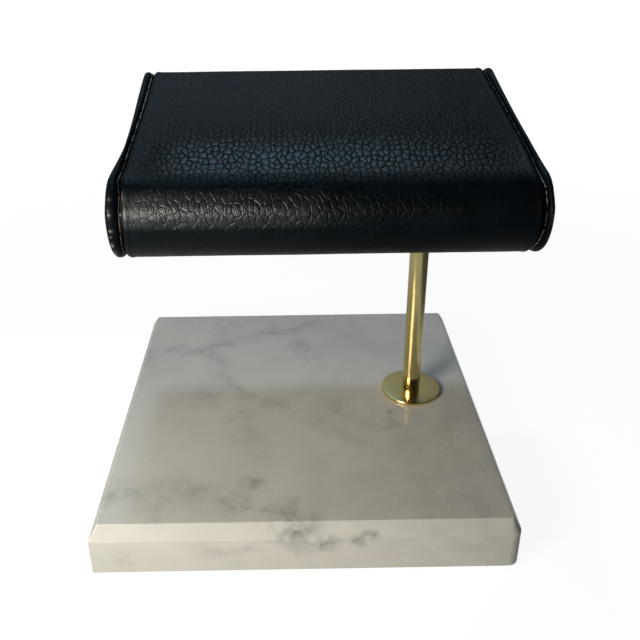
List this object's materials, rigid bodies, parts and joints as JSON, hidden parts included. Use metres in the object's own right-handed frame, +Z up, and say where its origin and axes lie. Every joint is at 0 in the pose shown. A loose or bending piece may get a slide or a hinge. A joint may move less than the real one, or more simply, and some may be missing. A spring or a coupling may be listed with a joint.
{
  "type": "watch stand",
  "caption": "Display stand for a wrist watch: a padded leather cushion on a thin brass post, set to one side of a bevelled marble base",
  "frame": {"origin": "middle of the base, on the face that rests on the table", "axes": "+X to the right, towards the post's side; +Y to the back, where the cushion is highest; +Z up"},
  "size_m": [0.1234, 0.12, 0.1209],
  "materials": {
    "marble": "honed, grey veins",
    "felt": "pressed felt",
    "brass": "polished",
    "steel": "zinc plated",
    "insert_brass": "turned",
    "wood": "sawn",
    "foam": "open-cell foam",
    "card": "grey board",
    "leather": "black, pebbled grain"
  },
  "bodies": {
    "root": {"marble_base": "marble", "base_pad": "felt", "base_screw": "steel", "base_washer": "steel", "base_flange": "brass", "post": "brass", "top_flange": "brass", "post_stud": "steel", "threaded_insert": "insert_brass", "core_block": "wood", "padding": "foam", "left_end_board": "card", "right_end_board": "card", "leather_wrap": "leather", "left_end_panel": "leather", "right_end_panel": "leather"}
  },
  "joints": []
}
